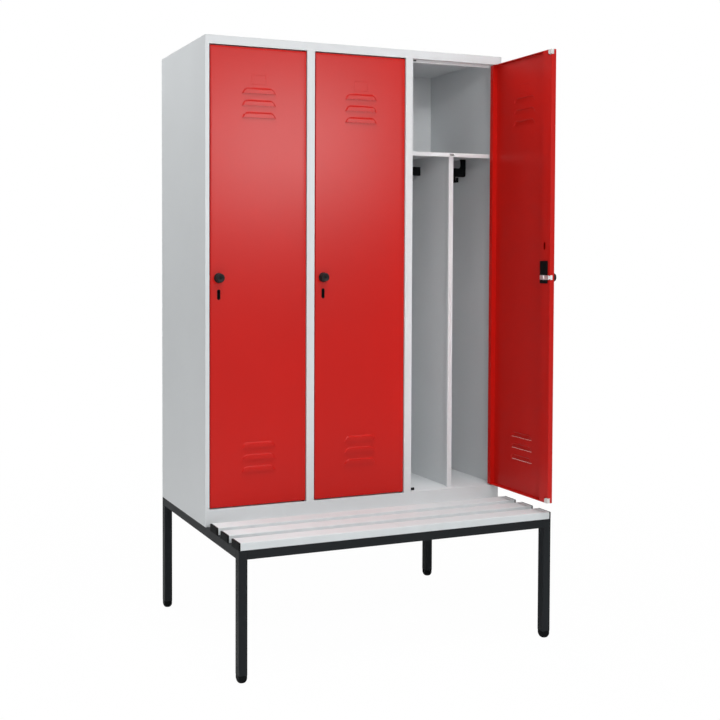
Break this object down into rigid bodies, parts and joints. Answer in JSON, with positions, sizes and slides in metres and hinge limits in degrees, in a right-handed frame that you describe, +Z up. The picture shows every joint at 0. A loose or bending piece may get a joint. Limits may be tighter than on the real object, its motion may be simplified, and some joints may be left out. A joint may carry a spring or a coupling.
{
  "type": "clothes locker with bench",
  "caption": "Tall sheet-steel clothes locker with side-by-side louvred doors, each compartment split by a divider under a hat shelf, standing on a tube bench frame with a slatted seat in front.",
  "frame": {"origin": "on the floor, under the middle of the whole object as shown, with the right-hand door open", "axes": "+Z up, -Y out of the cabinet's front, +X to the right when facing the doors"},
  "size_m": [1.2044, 0.849, 2.13],
  "materials": {
    "cabinet_paint": "light grey powder coat, fine texture, satin",
    "door_paint": "red powder coat, smooth satin",
    "frame_paint": "black-grey powder coat, fine texture",
    "slat_plastic": "light grey extruded plastic, satin",
    "black_plastic": "moulded black plastic",
    "black_rubber": "matt",
    "white_plastic": "natural white moulded plastic",
    "zinc_plate": "bright zinc plate"
  },
  "bodies": {
    "cabinet": {"back_panel": "cabinet_paint", "cabinet_bolts": "zinc_plate", "coat_rails": "black_plastic", "divider_1": "cabinet_paint", "divider_2": "cabinet_paint", "divider_3": "cabinet_paint", "door_pads": "black_rubber", "door_stops": "cabinet_paint", "fixing_strips": "cabinet_paint", "floor_panel": "cabinet_paint", "foot_caps": "black_plastic", "front_rail": "frame_paint", "front_slat": "slat_plastic", "hat_shelf_1": "cabinet_paint", "hat_shelf_2": "cabinet_paint", "hat_shelf_3": "cabinet_paint", "header_rail": "cabinet_paint", "hinge_pins": "zinc_plate", "left_mullion": "cabinet_paint", "left_partition": "cabinet_paint", "left_side_panel": "cabinet_paint", "left_stile": "cabinet_paint", "legs": "frame_paint", "middle_rail": "frame_paint", "middle_slat": "slat_plastic", "plinth": "cabinet_paint", "rear_rail": "frame_paint", "rear_slat": "slat_plastic", "right_mullion": "cabinet_paint", "right_partition": "cabinet_paint", "right_side_panel": "cabinet_paint", "right_stile": "cabinet_paint", "side_rails": "frame_paint", "slat_end_caps": "black_plastic", "slat_screws": "zinc_plate", "top_panel": "cabinet_paint"},
    "door_1": {"door_panel_1": "door_paint", "door_channels_1": "door_paint", "hinge_bushes_1": "black_plastic", "corner_buffers_1": "white_plastic", "lock_case_1": "black_plastic"},
    "latch_1": {"knob_1": "black_plastic", "lever_1": "zinc_plate"},
    "bolt_1": {"latch_bolt_1": "zinc_plate"},
    "door_2": {"door_panel_2": "door_paint", "door_channels_2": "door_paint", "hinge_bushes_2": "black_plastic", "corner_buffers_2": "white_plastic", "lock_case_2": "black_plastic"},
    "latch_2": {"knob_2": "black_plastic", "lever_2": "zinc_plate"},
    "bolt_2": {"latch_bolt_2": "zinc_plate"},
    "door_3": {"door_panel_3": "door_paint", "door_channels_3": "door_paint", "hinge_bushes_3": "black_plastic", "corner_buffers_3": "white_plastic", "lock_case_3": "black_plastic"},
    "latch_3": {"knob_3": "black_plastic", "lever_3": "zinc_plate"},
    "bolt_3": {"latch_bolt_3": "zinc_plate"}
  },
  "joints": [
    {"name": "door_1_hinge", "type": "hinge", "parent": "cabinet", "child": "door_1", "pos_m": [-0.22675, -0.067, 1.295], "axis": [0, 0, 1], "range_deg": [0, 100]},
    {"name": "latch_1_turn", "type": "hinge", "parent": "door_1", "child": "latch_1", "pos_m": [-0.55225, -0.067, 1.295], "axis": [0, -1, 0], "range_deg": [0, 90]},
    {"name": "bolt_1_slide", "type": "slide", "parent": "door_1", "child": "bolt_1", "axis": [-1, 0, 0], "range_m": [0, 0.012]},
    {"name": "door_2_hinge", "type": "hinge", "parent": "cabinet", "child": "door_2", "pos_m": [0.17325, -0.067, 1.295], "axis": [0, 0, 1], "range_deg": [0, 100]},
    {"name": "latch_2_turn", "type": "hinge", "parent": "door_2", "child": "latch_2", "pos_m": [-0.15225, -0.067, 1.295], "axis": [0, -1, 0], "range_deg": [0, 90]},
    {"name": "bolt_2_slide", "type": "slide", "parent": "door_2", "child": "bolt_2", "axis": [-1, 0, 0], "range_m": [0, 0.012]},
    {"name": "door_3_hinge", "type": "hinge", "parent": "cabinet", "child": "door_3", "pos_m": [0.57325, -0.067, 1.295], "axis": [0, 0, 1], "range_deg": [-90, 10]},
    {"name": "latch_3_turn", "type": "hinge", "parent": "door_3", "child": "latch_3", "pos_m": [0.57325, -0.3925, 1.295], "axis": [1, 0, 0], "range_deg": [0, 90]},
    {"name": "bolt_3_slide", "type": "slide", "parent": "door_3", "child": "bolt_3", "axis": [0, -1, 0], "range_m": [0, 0.012]}
  ],
  "couplings": [
    {"joint": "bolt_1_slide", "follows": "latch_1_turn", "m_per_rad": 0.00763},
    {"joint": "bolt_2_slide", "follows": "latch_2_turn", "m_per_rad": 0.00763},
    {"joint": "bolt_3_slide", "follows": "latch_3_turn", "m_per_rad": 0.00763}
  ]
}
